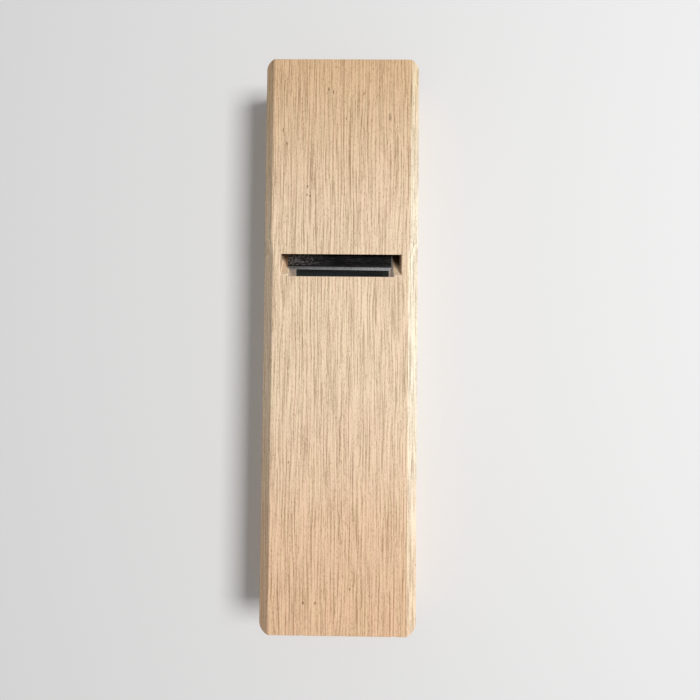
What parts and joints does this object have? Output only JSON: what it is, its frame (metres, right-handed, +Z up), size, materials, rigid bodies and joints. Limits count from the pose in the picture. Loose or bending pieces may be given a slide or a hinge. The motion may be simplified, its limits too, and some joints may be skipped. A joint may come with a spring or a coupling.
{
  "type": "japanese hand plane",
  "caption": "Low oak block plane with a thick wedge-shaped blade, a chipbreaker with bent ears and a steel pin across the throat.",
  "frame": {"origin": "middle of the sole", "axes": "+X along the block towards its long leading end, +Y across it, +Z up from the sole"},
  "size_m": [0.29, 0.079, 0.0693],
  "materials": {
    "oak": "planed, unfinished",
    "pin_steel": "dull drawn rod",
    "forged_iron": "dark forge scale",
    "honed_steel": "ground and honed"
  },
  "bodies": {
    "block": {"body": "oak", "retaining_pin": "pin_steel"},
    "blade": {"blade_iron": "forged_iron", "blade_steel": "honed_steel"},
    "chipbreaker": {"chipbreaker_iron": "forged_iron", "chipbreaker_steel": "honed_steel"}
  },
  "joints": [
    {"name": "blade_slide", "type": "slide", "parent": "block", "child": "blade", "axis": [-0.7809, 0, 0.6247], "range_m": [-0.00406, 0.056]},
    {"name": "chipbreaker_slide", "type": "slide", "parent": "blade", "child": "chipbreaker", "axis": [-0.7657, -0.0122, 0.6431], "range_m": [-0.001, 0.052]}
  ]
}
